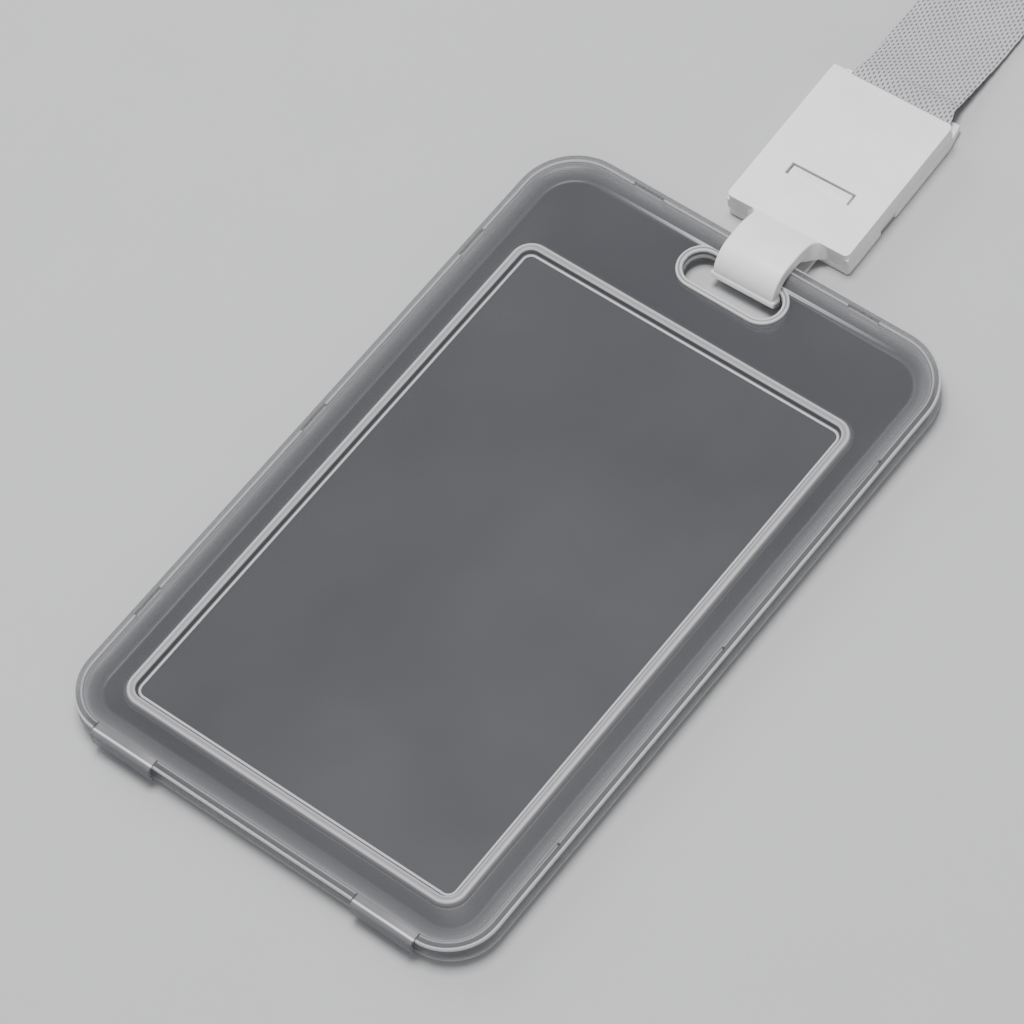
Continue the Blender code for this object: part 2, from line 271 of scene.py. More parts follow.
def frosted_plastic(name, lift=0.0):
    """Translucent polypropylene: a grey haze on the webs, whiter and denser along moulded edges, partly the
    plastic's own whitening and partly painted highlight.

    lift is the least edge-highlight value a place has, for plastic whitened by bending.
    """
    haze_dark, haze_light, edge_white_and_highlight = (0.074, 0.076, 0.084), (0.082, 0.084, 0.093), (0.66, 0.66, 0.68)
    web_alpha, edge_alpha, pane_alpha = 0.5, 0.9, 0.66
    n = Nodes(name)
    at = n.add("ShaderNodeTexCoord").outputs["Object"]
    cloud = n.noise(at, 34.0, 3.0)
    whitening_and_highlight = n.add("ShaderNodeAttribute", attribute_name="whitening_and_highlight").outputs["Fac"]
    if lift:
        whitening_and_highlight = n.math("MAXIMUM", whitening_and_highlight, lift)
    haze = n.mix(n.remap(cloud, 0.3, 0.7, 0.0, 1.0), haze_dark, haze_light)
    # Painted highlight: the edge value mixes the haze toward white along moulded edges; on bent hinge plastic the
    # same mix is real whitening.
    n.link(n.mix(whitening_and_highlight, haze, edge_white_and_highlight), n.shader.inputs["Base Color"])
    edges = n.remap(whitening_and_highlight, 0.0, 1.0, web_alpha, edge_alpha)
    panes = n.remap(whitening_and_highlight, PANE, 0.0, pane_alpha, web_alpha)
    n.link(n.math("MAXIMUM", edges, panes), n.shader.inputs["Alpha"])
    n.link(n.remap(cloud, 0.3, 0.7, 0.26, 0.34), n.shader.inputs["Roughness"])
    n.shader.inputs["IOR"].default_value = 1.5
    n.shader.inputs["Specular IOR Level"].default_value = 0.22
    return n.material


def white_plastic():
    """Satin moulded plastic with a faint warm mottle and fine grain."""
    shade, tint = (0.80, 0.78, 0.775), (0.85, 0.835, 0.83)
    n = Nodes("white_plastic")
    at = n.add("ShaderNodeTexCoord").outputs["Object"]
    cloud = n.noise(at, 140.0, 4.0)
    grain = n.noise(at, 3800.0, 2.0)
    n.link(n.mix(n.remap(cloud, 0.35, 0.65, 0.0, 1.0), shade, tint), n.shader.inputs["Base Color"])
    n.link(n.remap(grain, 0.2, 0.8, 0.36, 0.5), n.shader.inputs["Roughness"])
    n.link(n.bump(grain, 0.25, 0.00004, n.bump(cloud, 0.2, 0.0002)), n.shader.inputs["Normal"])
    n.shader.inputs["Subsurface Weight"].default_value = 0.15
    n.shader.inputs["Subsurface Radius"].default_value = (0.0012, 0.001, 0.0009)
    n.shader.inputs["IOR"].default_value = 1.47
    return n.material


def woven_ribbon():
    """Woven polyester tape: cords along it, with short gaps between them set like brickwork and darkened with
    painted shade.
    """
    painted_gap_shade, thread_light = (0.05, 0.05, 0.058), (0.45, 0.45, 0.475)
    n = Nodes("woven_ribbon")
    place = n.add("ShaderNodeAttribute", attribute_name="ribbon").outputs["Vector"]
    split = n.add("ShaderNodeSeparateXYZ")
    n.link(place, split.inputs["Vector"])
    across, along = split.outputs["X"], split.outputs["Y"]
    wander = n.noise(place, 0.3, 2.0)
    column = n.math("DIVIDE", n.math("ADD", across, n.math("MULTIPLY", wander, 0.25)), CORD_PITCH)
    cord = n.math("SINE", n.math("MULTIPLY", n.math("FRACT", column), math.pi))
    shift = n.math("MULTIPLY", n.math("FLOOR", column), 0.5)
    row = n.math("ADD", n.math("DIVIDE", along, PICK_PITCH), shift)
    pick = n.math("SINE", n.math("MULTIPLY", n.math("FRACT", row), math.pi))
    groove = n.remap(cord, 0.72, 0.96, 0.0, 1.0)
    dash = n.remap(pick, 0.5, 0.8, 0.0, 1.0)
    height = n.math("SUBTRACT", 1.0, n.math("MULTIPLY", groove, dash))
    fuzz = n.noise(place, 5.0, 4.0)
    broad = n.noise(place, 0.22, 2.0)
    worn = n.math("MULTIPLY", n.remap(fuzz, 0.3, 0.7, 0.84, 1.0), n.remap(broad, 0.35, 0.65, 0.9, 1.0))
    shade = n.math("MULTIPLY", height, worn)
    # The dark gaps between the cords are painted shade, mixed in by height.
    n.link(n.mix(shade, painted_gap_shade, thread_light), n.shader.inputs["Base Color"])
    n.link(n.remap(fuzz, 0.3, 0.7, 0.55, 0.75), n.shader.inputs["Roughness"])
    n.link(n.bump(height, 0.5, 0.0001), n.shader.inputs["Normal"])
    n.shader.inputs["Sheen Weight"].default_value = 0.25
    n.shader.inputs["Sheen Roughness"].default_value = 0.4
    return n.material


def floor_paper():
    """Plain pale paper with a trace of mottle."""
    n = Nodes("floor_paper")
    at = n.add("ShaderNodeTexCoord").outputs["Object"]
    speck = n.noise(at, 60.0, 5.0)
    n.link(n.mix(speck, (0.43, 0.435, 0.445), (0.45, 0.455, 0.465)), n.shader.inputs["Base Color"])
    n.shader.inputs["Roughness"].default_value = 0.7
    return n.material


# ---------------------------------------------------------------- mesh helpers


def smooth(t):
    """An eased step from 0 to 1."""
    t = min(max(t, 0.0), 1.0)
    return t * t * (3 - 2 * t)


def rounded_ring(width, y_low, y_high, radius, z, steps=CORNER_STEPS, foot_radius=None):
    """Points of a rounded rectangle at height z, anticlockwise from its right side."""
    points = []
    for side_x, side_y, start in ((1, 1, 0.0), (-1, 1, 90.0), (-1, -1, 180.0), (1, -1, 270.0)):
        r = foot_radius if foot_radius is not None and side_y < 0 else radius
        cx = side_x * (width / 2 - r)
        cy = y_high - r if side_y > 0 else y_low + r
        for i in range(steps + 1):
            a = math.radians(start + 90.0 * i / steps)
            points.append((cx + r * math.cos(a), cy + r * math.sin(a), z))
    return points


def case_ring(inset, z):
    width, low, high = CASE_W - 2 * inset, CASE_Y + inset, CASE_Y + CASE_L - inset
    return rounded_ring(width, low, high, CASE_R_TOP - inset, z, foot_radius=CASE_R_FOOT - inset)


def window_ring(inset, z):
    low, high = WINDOW_Y
    return rounded_ring(WINDOW_W - 2 * inset, low + inset, high - inset, WINDOW_R - inset, z)


def slot_ring(outset, z):
    width, height = SLOT_W + 2 * outset, SLOT_H + 2 * outset
    low, high = SLOT_Y - height / 2, SLOT_Y + height / 2
    almost_half = height / 2 - 1e-3
    return rounded_ring(width, low, high, almost_half, z)


def box_rings(u0, u1, v0, v1, z0, z1):
    """The foot and the top of a box, as rings for a loft."""
    return [[(u0, v0, z), (u1, v0, z), (u1, v1, z), (u0, v1, z)] for z in (z0, z1)]


def loft(name, rings, material=None, cyclic=False, place=None, whitening_and_highlight=None):
    """Joins rings of equally many points into one closed, smooth-shaded mesh.

    The edge-highlight value is how much each ring is painted whiter as if it caught the light, painted highlight
    with some real edge whitening, from 0 on a flat web to 1 on a moulded edge, or PANE.
    """
    bm = bmesh.new()
    layer = bm.verts.layers.float.new("whitening_and_highlight")
    loops = [[bm.verts.new(Vector(p)) for p in ring] for ring in rings]
    for ring, value in zip(loops, whitening_and_highlight or [0.0] * len(loops)):
        for vert in ring:
            vert[layer] = value
    for low, high in zip(loops, loops[1:] + (loops[:1] if cyclic else [])):
        count = len(low)
        for i in range(count):
            j = (i + 1) % count
            bm.faces.new((low[i], low[j], high[j], high[i]))
    if not cyclic:
        bm.faces.new(loops[0][::-1])
        bm.faces.new(loops[-1])
    bm.transform(Matrix.Scale(MM, 4) @ (place or Matrix.Identity(4)))
    bmesh.ops.recalc_face_normals(bm, faces=bm.faces)
    mesh = bpy.data.meshes.new(name)
    bm.to_mesh(mesh)
    bm.free()
    ob = bpy.data.objects.new(name, mesh)
    bpy.context.scene.collection.objects.link(ob)
    if material:
        mesh.materials.append(material)
    finish_shading(ob)
    return ob


def loft_section(name, section, ring_of, **rest):
    """A loft whose rings and painted edge highlight come from (inset, z, highlight) points."""
    return loft(name, [ring_of(x, z) for x, z, _ in section], whitening_and_highlight=[g for _, _, g in section], **rest)


def finish_shading(ob, sharp=SHARP_ANGLE):
    ob.data.shade_smooth()
    ob.data.set_sharp_from_angle(angle=math.radians(sharp))


def settle(ob):
    """Applies a piece's modifiers to its mesh."""
    bpy.context.view_layer.update()
    evaluated = ob.evaluated_get(bpy.context.evaluated_depsgraph_get())
    mesh = bpy.data.meshes.new_from_object(evaluated)
    old = ob.data
    ob.modifiers.clear()
    ob.data = mesh
    bpy.data.meshes.remove(old)
    mesh.name = ob.name


def carve(ob, cutters):
    """Joins or cuts a piece with others, given as (object, operation), then removes them.

    Corners that the cuts make take their painted edge highlight from the nearest place on the pieces that went in.
    """
    points, faces, values = [], [], []
    for source in [ob] + [cutter for cutter, operation in cutters if operation == "UNION"]:
        first = len(points)
        points += [v.co.copy() for v in source.data.vertices]
        quads = [face.vertices for face in source.data.polygons if len(face.vertices) == 4]
        faces += [[first + k for k in quad] for quad in quads]
        values += [item.value for item in source.data.attributes["whitening_and_highlight"].data]
    tree = BVHTree.FromPolygons(points, faces)
    for cutter, operation in cutters:
        modifier = ob.modifiers.new("carve", "BOOLEAN")
        modifier.operation, modifier.solver, modifier.object = operation, "EXACT", cutter
    settle(ob)
    for cutter, _ in cutters:
        bpy.data.objects.remove(cutter)
    whitening_and_highlight = ob.data.attributes["whitening_and_highlight"].data
    for vertex, item in zip(ob.data.vertices, whitening_and_highlight):
        place, _, index, _ = tree.find_nearest(vertex.co)
        weights = poly_3d_calc([points[k] for k in faces[index]], place)
        item.value = sum(w * values[k] for w, k in zip(weights, faces[index]))
    finish_shading(ob)


def round_edges(ob, width, segments=3):
    """Rolls a moulded radius along a piece's sharp edges."""
    modifier = ob.modifiers.new("round", "BEVEL")
    modifier.width, modifier.segments = width * MM, segments
    modifier.limit_method, modifier.angle_limit = "ANGLE", math.radians(BEVEL_ANGLE)
    settle(ob)
    finish_shading(ob)


def arc(x, z, radius, start, end, steps=5):
    """Points on an arc in a section, from one angle to another in degrees."""
    turn = (end - start) / steps
    angles = [math.radians(start + turn * i) for i in range(steps + 1)]
    return [(x + radius * math.cos(a), z + radius * math.sin(a)) for a in angles]


def lit(points, whitening_and_highlight):
    """Section points that all have one painted edge-highlight value."""
    return [(x, z, whitening_and_highlight) for x, z in points]


def fading(points, first, last):
    """Section points whose painted edge highlight runs from one value to another along them."""
    end = len(points) - 1
    return [(x, z, first + (last - first) * i / end) for i, (x, z) in enumerate(points)]


# ---------------------------------------------------------------- the card case


def bead_top(base, crest):
    """(inset, z, highlight) points over the raised bead around the window, with painted highlight on its slopes,
    crest and inner edge.
    """
    rise = crest - base
    return [
        (-0.25, base, 0.0), (0.0, base + 0.03, 0.12), (0.18, base + 0.3 * rise, 0.3),
        (0.32, base + 0.75 * rise, 0.5), (0.42, crest - 0.07, 0.8), (0.58, crest, 0.8),
        (0.8, crest + 0.02, 0.5), (1.0, crest + 0.02, 0.42), (1.2, crest, 0.62), (1.36, crest - 0.08, 0.8),
        (1.46, base + 0.7 * rise, 0.12), (1.62, base + 0.28 * rise, 0.0), (1.74, base + 0.06, 0.2),
        (1.86, base, 0.85), (2.08, base, 0.75), (2.2, base, PANE),
    ]


def bead_under(base, crest):
    """The same bead's hollow underside, kept inside it."""
    shoulder = base + 0.3 * (crest - base)
    return [
        (0.1, base, 0.0), (0.5, shoulder, 0.1), (0.72, crest, 0.1), (1.08, crest, 0.1),
        (1.3, shoulder, 0.1), (1.6, base, 0.0), (2.2, base, PANE),
    ]


def window_section(section):
    """A section's rings around the window, and their painted edge highlight."""
    return [window_ring(x, z) for x, z, _ in section], [g for _, _, g in section]


def cover_mesh(name, under, edge, over, material):
    """A cover's shell: window bead from below, the cover's edge, and window bead from above."""
    rings, whitening_and_highlight = window_section(under[::-1])
    rings += [case_ring(x, z) for x, z, _ in edge]
    whitening_and_highlight += [g for _, _, g in edge]
    more, more_whitening_and_highlight = window_section(over)
    return loft(name, rings + more, material, whitening_and_highlight=whitening_and_highlight + more_whitening_and_highlight)


def collar(name, base, top):
    """A rounded ring around the slot."""
    outer, inner, r = COLLAR_OUTER, COLLAR_INNER, COLLAR_R
    section = [(outer, base, 0.0), (outer, base + 0.21, 0.0)]
    # Painted highlight lines along the collar's two rounded edges.
    section += lit(arc(outer - 0.25, top - r, r, 0, 90, 4), 0.9)
    section += [((outer + inner) / 2, top - 0.05, 0.25)]
    section += lit(arc(inner + r, top - r, r, 90, 180, 4), 0.9) + [(inner, base - 0.1, 0.5)]
    return loft_section(name, section, slot_ring, cyclic=True)


def tab_places():
    """Where the snap tabs stand on the case's edge, with the way out of the case there."""
    for y in TAB_SIDE_Y:
        yield (-CASE_W / 2, CASE_Y + y), (-1, 0)
        yield (CASE_W / 2, CASE_Y + y), (1, 0)
    for x in TAB_END_X:
        yield (x, CASE_Y + CASE_L), (0, 1)


def edge_box(name, place, out, inner, outer, half_length, z0, z1, whitening_and_highlight):
    """A box along the case's edge, from one inset to another."""
    (x, y), (ox, oy) = place, out
    near = (x - ox * inner, y - oy * inner)
    far = (x - ox * outer, y - oy * outer)
    us = sorted((near[0] - abs(oy) * half_length, far[0] + abs(oy) * half_length))
    vs = sorted((near[1] - abs(ox) * half_length, far[1] + abs(ox) * half_length))
    return loft(name, box_rings(*us, *vs, z0, z1), whitening_and_highlight=[whitening_and_highlight, whitening_and_highlight])


def make_front_cover(material):
    """The lid: a flange that slopes down to the web, the window's bead, the collar and the snap tabs."""
    under = bead_under(FRONT_BACK, BEAD_TOP - BEAD_DEEP)
    x, foot, lip = LID_INSET, LID_FOOT_R, LID_EDGE_R
    # The lid's rounded edge and flange are painted a little whiter, as highlight.
    edge = [(x + 0.6, FRONT_BACK, 0.0), (x + foot, FRONT_BACK, 0.3)]
    edge += lit(arc(x + foot, FRONT_BACK + foot, foot, 270, 180, 3)[1:], 0.3)
    edge += lit(arc(x + lip, FLANGE_TOP - lip, lip, 180, 90, 4), 0.3)
    edge += [(x + 0.36, FLANGE_TOP, 0.22), (x + 0.6, FLANGE_TOP - 0.03, 0.18)]
    edge += [(x + 0.9, FLANGE_TOP - 0.12, 0.15)]
    edge += [(2.9, FLANGE_TOP - 0.55, 0.13), (3.2, FRONT_FACE + 0.28, 0.12), (3.42, FRONT_FACE + 0.1, 0.12)]
    edge += [(3.62, FRONT_FACE + 0.02, 0.06), (3.9, FRONT_FACE, 0.0)]
    cover = cover_mesh("front_cover_shell", under, edge, bead_top(FRONT_FACE, BEAD_TOP), material)
    jobs = [(collar("collar", FRONT_FACE - 0.2, COLLAR_TOP), "UNION")]
    for place, out in tab_places():
        heights = (FRONT_BACK + 0.1, TAB_TOP)
        # The tabs are painted a little whiter, as highlight.
        tab = edge_box("tab", place, out, LID_INSET + 0.5, TAB_OUT, TAB_LEN / 2, *heights, 0.45)
        jobs.append((tab, "UNION"))
    hole = loft("hole", [slot_ring(0.0, 1.0), slot_ring(0.0, ABOVE_ALL)], whitening_and_highlight=[0.8, 0.8])
    carve(cover, jobs + [(hole, "DIFFERENCE")])
    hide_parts("front_cover")
    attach(cover, "front_cover")


def make_rear_cover(material):
    """The tray: its web and window bead, the outer wall with a rounded rim, and seats for tabs and hinges."""
    web_top = REAR_FACE + REAR_WEB
    under = [(x, web_top + (z - REAR_FACE), g) for x, z, g in bead_under(REAR_FACE, 0.5)]
    # Painted highlight: the rim's rounded edges and the foot are painted whiter, up to full white on the rim's arcs.
    edge = lit(arc(WALL + 0.35, web_top + 0.3, 0.3, 270, 180, 4), 0.2)
    edge += [(WALL, 3.2, 0.2), (WALL, RIM_TOP - 0.45, 0.3), (WALL, RIM_TOP - 0.32, 0.95)]
    edge += fading(arc(WALL - RIM_R, RIM_TOP - RIM_R, RIM_R, 0, 90, 6), 1.0, 0.3)
    edge += [(WALL - 0.3, RIM_TOP, 0.1), (0.6, RIM_TOP, 0.07), (0.3, RIM_TOP, 0.08)]
    edge += fading(arc(RIM_R, RIM_TOP - RIM_R, RIM_R, 90, 180, 6), 0.7, 1.0)
    edge += [(0.0, RIM_TOP - 0.42, 1.0), (0.0, RIM_TOP - 0.6, 0.12), (0.0, 2.4, 0.08), (0.0, 1.7, 0.3)]
    edge += lit(arc(FOOT_R, REAR_FACE - 0.4 + FOOT_R, FOOT_R, 180, 270, 9), 0.6)
    edge += [(1.2, REAR_FACE - 0.4, 0.3), (2.4, REAR_FACE, 0.1)]
    over = [(x, 2 * REAR_FACE - z, g) for x, z, g in bead_top(REAR_FACE, 2 * REAR_FACE)]
    cover = cover_mesh("rear_cover_shell", under, edge, over, material)
    jobs = [(collar("sleeve", web_top - 0.2, SLEEVE_TOP), "UNION")]
    for place, out in tab_places():
        half = TAB_LEN / 2 + 0.15
        pocket = edge_box("pocket", place, out, WALL + 0.5, 0.75, half, 2.2, ABOVE_ALL, 0.5)
        jobs.append((pocket, "DIFFERENCE"))
    for node in ("living_hinge_left", "living_hinge_right"):
        low, high = (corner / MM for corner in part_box(node))
        ends = (low.x - 0.15, high.x + 0.15)
        seat = box_rings(*ends, CASE_Y - 1.0, CASE_Y + WALL + 0.5, 3.5, ABOVE_ALL)
        jobs.append((loft("seat", seat, whitening_and_highlight=[0.4, 0.4]), "DIFFERENCE"))
    hole = loft("hole", [slot_ring(0.0, -1.0), slot_ring(0.0, ABOVE_ALL)], whitening_and_highlight=[0.8, 0.8])
    carve(cover, jobs + [(hole, "DIFFERENCE")])
    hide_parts("rear_cover")
    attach(cover, "rear_cover")


def make_hinges(material):
    """Thin leaves folded over the lowered wall."""
    for node in ("living_hinge_left", "living_hinge_right"):
        low, high = (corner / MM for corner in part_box(node))
        outer, top = low.y, high.z
        path = [(outer + 0.45, low.z), (outer + 0.3, low.z + 0.5), (outer + 0.25, low.z + 1.2)]
        path += arc(outer + 0.75, top - 0.75, LEAF_R, 180, 90, 8)
        path += [(outer + 0.98, top - 0.25), (outer + 1.06, top - 0.24), (high.y + 0.02, top - 0.2)]
        rings = strip_rings(path, LEAF_T, lambda i: (high.x - low.x) / 2, 0.12, (low.x + high.x) / 2)
        # A painted highlight: the rim's bright outer edge line runs on across the leaf, where the path crosses it.
        whitening_and_highlight = [0.95 if -0.1 < y - CASE_Y < 0.2 else 0.0 for y, z in path]
        leaf = loft(node.replace("living_hinge", "hinge_leaf"), rings, material, whitening_and_highlight=whitening_and_highlight)
        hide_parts(node)
        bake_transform(leaf)


# ---------------------------------------------------------------- the strap clip


def strip_rings(path, thickness, half_width, corner, mid=0.0, steps=3, deeper=None):
    """Rounded rectangles of a strip that follows a path in the v-z plane.

    deeper says how much thicker the strip is at each point of the path, on the side to the left of its way.
    """
    rings = []
    for i, point in enumerate(path):
        before, after = path[max(i - 1, 0)], path[min(i + 1, len(path) - 1)]
        along = Vector((after[0] - before[0], after[1] - before[1])).normalized()
        side = Vector((-along.y, along.x))
        reach = thickness / 2 + (deeper(i) if deeper else 0.0)
        ring = rounded_ring(2 * half_width(i), -thickness / 2, reach, corner, 0.0, steps)
        rings.append([(mid + u, point[0] + side.x * w, point[1] + side.y * w) for u, w, _ in ring])
    return rings


def chamfered(low, high, z, inset=0.0):
    """The rear plate's outline: square at the neck end, its far corners cut back along the sides."""
    half = PLATE_W / 2 - inset
    far, near = high - inset, low + inset
    right = [(half - 0.3, near), (half, near + 0.3), (half, high - 3.6), (half - 0.6, far)]
    left = [(-x, y) for x, y in right[::-1]]
    return [(x, y, z) for x, y in right + left]


def make_front_plate(material):
    """The face with its latch window, the skirts beside the ribbon, and an ear at its far left corner."""
    low, high = PLATE_V
    front = loft("clip_face", [
        rounded_ring(PLATE_W, low, high, PLATE_R, PLATE_MID, 6),
        rounded_ring(PLATE_W, low, high, PLATE_R, PLATE_TOP, 6),
    ], material, place=CLIP_FRAME)
    boxes = []
    skirt_z = (REAR_TOP + 0.2, PLATE_MID + 0.3)
    for side in (-1, 1):
        ends = sorted((side * (RIBBON_W / 2 + 0.35), side * (PLATE_W / 2 - 0.01)))
        boxes.append(("skirt", box_rings(*ends, low + 0.02, high - 0.3, *skirt_z), "UNION"))
        ends = sorted((side * (NECK_W / 2 - 0.6), side * (PLATE_W / 2 - 0.02)))
        boxes.append(("end", box_rings(*ends, low + 0.01, low + 1.0, *skirt_z), "UNION"))
    ear = box_rings(0.03 - PLATE_W / 2, -7.5, high - 1.2, high + 0.3, PLATE_MID - 0.6, PLATE_TOP - 0.02)
    boxes.append(("ear", ear, "UNION"))
    half = LATCH_W / 2
    boxes.append(("window", box_rings(-half, half, *LATCH_V, 2.0, ABOVE_ALL), "DIFFERENCE"))
    carve(front, [(loft(name, rings, place=CLIP_FRAME), operation) for name, rings, operation in boxes])
    round_edges(front, 0.2, 3)
    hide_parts("clip_front_plate")
    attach(front, "clip_front")


def make_rear_plate(material):
    """The plate under the ribbon, with a thumb dent in its side, and the catch bar that stands on it."""
    low, far = PLATE_V[0], REAR_LIP_V + 0.1
    rear = loft("clip_back", [
        chamfered(low, far, 0.0, 0.2), chamfered(low, far, 0.3), chamfered(low, far, REAR_TOP + 0.15),
    ], material, place=CLIP_FRAME)
    side = PLATE_W / 2
    dent = loft("dent", box_rings(side - 0.4, side + 1.0, 18.9, 22.4, -1.0, 3.0), place=CLIP_FRAME)
    carve(rear, [(dent, "DIFFERENCE")])
    round_edges(rear, 0.16, 3)
    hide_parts("clip_rear_plate")
    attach(rear, "clip_rear")

    half = LATCH_W / 2 - LATCH_GAP
    vs, zs = (LATCH_V[0] + 0.06, LATCH_V[1] - 0.3), (REAR_TOP - 0.1, PLATE_TOP - 0.1)
    bar = loft("clip_catch", box_rings(-half, half, *vs, *zs), material, place=CLIP_FRAME)
    round_edges(bar, 0.12, 2)
    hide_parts("clip_catch_bar")
    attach(bar, "clip_rear")


def make_arms(material):
    """The neck over the rim and into the slot, its fold, and the arm back under the case."""
    middle = NECK_T / 2
    top = PLATE_TOP - middle - 0.01
    path = [(12.1, top), (11.6, top), (11.35, top), (11.1, top), (10.9, top + 0.05), (10.7, top + 0.13)]
    path += [(10.5, 3.87), (10.2, 4.03), (9.9, 4.19), (9.5, 4.4), (9.0, 4.63), (8.6, 4.78), (8.2, 4.91)]
    path += [(7.7, 5.03), (7.2, 5.12), (6.7, 5.17), (6.1, 5.2), (5.4, 5.2)]
    path += arc(ARCH_V, ARCH_TOP - ARCH_R, ARCH_R - middle, 90, ARCH_END, 16)
    lip_v, lip_z = path[-1]
    lip_path = ((0.06, 0.2), (0.2, 0.36), (0.32, 0.55), (0.36, 0.7))
    path += [(lip_v - inward, lip_z - down) for inward, down in lip_path]

    def half_width(i):
        flare = min(max(0.0, path[i][0] - (PLATE_V[0] - NECK_FLARE)) / NECK_FLARE, 1.0)
        lip = NECK_LIP * smooth((lip_z - path[i][1]) / 0.4) if path[i][0] < ARCH_V else 0.0
        return NECK_W / 2 + lip + NECK_FLARE * (1 - math.sqrt(1 - flare * flare))

    def gusset(i):
        return GUSSET_DEEP * smooth((path[i][0] - GUSSET_V) / GUSSET_RUN)

    rings = strip_rings(path, NECK_T, half_width, 0.22, steps=4, deeper=gusset)
    neck = loft("clip_neck", rings, material, place=CLIP_FRAME)
    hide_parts("clip_upper_arm")
    bend_with_clip(neck)

    fold_path = [(1.15, 2.6), (1.15, 1.5)] + arc(2.15, 1.3, 1.0, 180, 270, 8)
    rings = strip_rings(fold_path, ARM_T, lambda i: NECK_W / 2 - 0.25, 0.2)
    fold = loft("clip_fold_web", rings, material, place=CLIP_FRAME)
    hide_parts("clip_fold")
    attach(fold, "clip_arms")

    under_path = [(2.0 + i, UNDER_ARM_Z) for i in range(11)]
    rings = strip_rings(under_path, ARM_T, lambda i: NECK_W / 2 - 0.1, 0.2)
    under = loft("clip_under_arm", rings, material, place=CLIP_FRAME)
    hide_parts("clip_lower_arm")
    bend_with_clip(under)


def bend_with_clip(arm):
    """Bakes an arm's placement into its mesh."""
    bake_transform(arm)


# ---------------------------------------------------------------- the ribbon

# Both legs run as (v, z) points from their clamped ends, over the clip's mouth, to where they start to turn.
LEG_START, MOUTH_V = 26.5, 37.5
TWIST_V = (68.0, 96.0)
LEG_REST, LEG_RISE = 0.2, 0.42
UPPER_REST = LEG_REST + LEG_RISE
LOWER_LEG = (
    (LEG_START, 1.95), (39.4, 1.95), (41.8, 1.1), (45.0, 0.3), (49.0, LEG_REST), (TWIST_V[0], LEG_REST),
)
UPPER_LEG = (
    (LEG_START, 2.65), (37.6, 2.65), (39.4, 2.8), (40.4, 2.65), (42.2, 2.1), (45.5, 1.55), (51.0, 0.85),
    (59.0, UPPER_REST), (TWIST_V[0], UPPER_REST),
)
MOUTH_ALONG = MOUTH_V - LEG_START

COIL_C = Vector((-48.0, 121.0))
COIL_TOP, COIL_PITCH, COIL_TURN, COIL_ENTRY = 47.0, 12.0, 9.15, math.radians(4.0)
TWIST_SPREAD, STRAND_GAP = 1.6, 3.0  # half the legs' spread at the end of the turn, and in the coil
ON_EDGE_Z = RIBBON_W / 2 + 0.02
RING_STEP = 0.45
TWIST_STEPS, REACH_STEPS, COIL_STEPS, EYE_STEPS = 56, 24, 300, 24
COLUMNS = 17
FLARE_RUN = 2.2  # how soon the tape's width, squeezed out at the mouth, eases back
FLAT_OUT, FLAT_RUN = 24.0, 7.0  # how far from the mouth the tape lies flat, and the run over which that ends
CREASE_OUT, CREASE_RUN, CREASE_DEEP = 3.9, 0.75, 0.3


def pair_line():
    """The middle of the pair of legs past the clip: (u, v), how far it has turned, and half its spread."""
    line = []
    low, high = TWIST_V
    near, entry = LEG_RISE / 2, COIL_ENTRY
    for i in range(TWIST_STEPS):
        t = i / TWIST_STEPS
        half = near + (TWIST_SPREAD - near) * smooth(t)
        line.append((Vector((0.0, low + (high - low) * t)), 90.0 * smooth(t), half))
    start = COIL_C + COIL_TOP * Vector((math.cos(entry), math.sin(entry)))
    a, d = Vector((0.0, high)), start
    reach_out = (d - a).length * 0.4
    b = a + Vector((0.0, reach_out))
    c = d - Vector((-math.sin(entry), math.cos(entry))) * reach_out
    for i in range(REACH_STEPS):
        t = i / REACH_STEPS
        point = a * (1 - t) ** 3 + 3 * b * t * (1 - t) ** 2 + 3 * c * t * t * (1 - t) + d * t ** 3
        line.append((point, 90.0, TWIST_SPREAD + (STRAND_GAP - TWIST_SPREAD) * smooth(t)))
    for i in range(COIL_STEPS + 1):
        turn = COIL_TURN * i / COIL_STEPS
        radius = COIL_TOP - COIL_PITCH * turn / (2 * math.pi)
        angle = entry + turn
        line.append((COIL_C + radius * Vector((math.cos(angle), math.sin(angle))), 90.0, STRAND_GAP))
    return line


def ribbon_points():
    """The whole loop from the clip and back: (middle, direction across) in the clip's frame."""
    flat, upright = Vector((1.0, 0.0, 0.0)), Vector((0.0, 0.0, 1.0))
    lower, upper = (
        [(Vector((0.0, v, z)), flat) for v, z in leg_line(leg)] for leg in (LOWER_LEG, UPPER_LEG)
    )
    line = pair_line()
    out, back = [], []
    for i, (point, turned, half) in enumerate(line):
        after, before = line[min(i + 1, len(line) - 1)][0], line[max(i - 1, 0)][0]
        along = (after - before).normalized()
        right = Vector((along.y, -along.x, 0.0))
        c, s = math.cos(math.radians(turned)), math.sin(math.radians(turned))
        across = right * c + Vector((0.0, 0.0, s))
        normal = Vector((0.0, 0.0, c)) - right * s
        middle = Vector((point.x, point.y, (LEG_REST + half) * c + ON_EDGE_Z * s))
        out.append((middle - normal * half, across))
        back.append((middle + normal * half, across))
    end, before = line[-1][0], line[-2][0]
    along = (end - before).normalized()
    right = Vector((along.y, -along.x))
    eye = []
    for i in range(1, EYE_STEPS):
        a = math.pi * i / EYE_STEPS
        place = end + right * STRAND_GAP * math.cos(a) + along * STRAND_GAP * math.sin(a)
        eye.append((Vector((place.x, place.y, ON_EDGE_Z)), upright))
    return lower + out + eye + back[::-1] + upper[::-1]


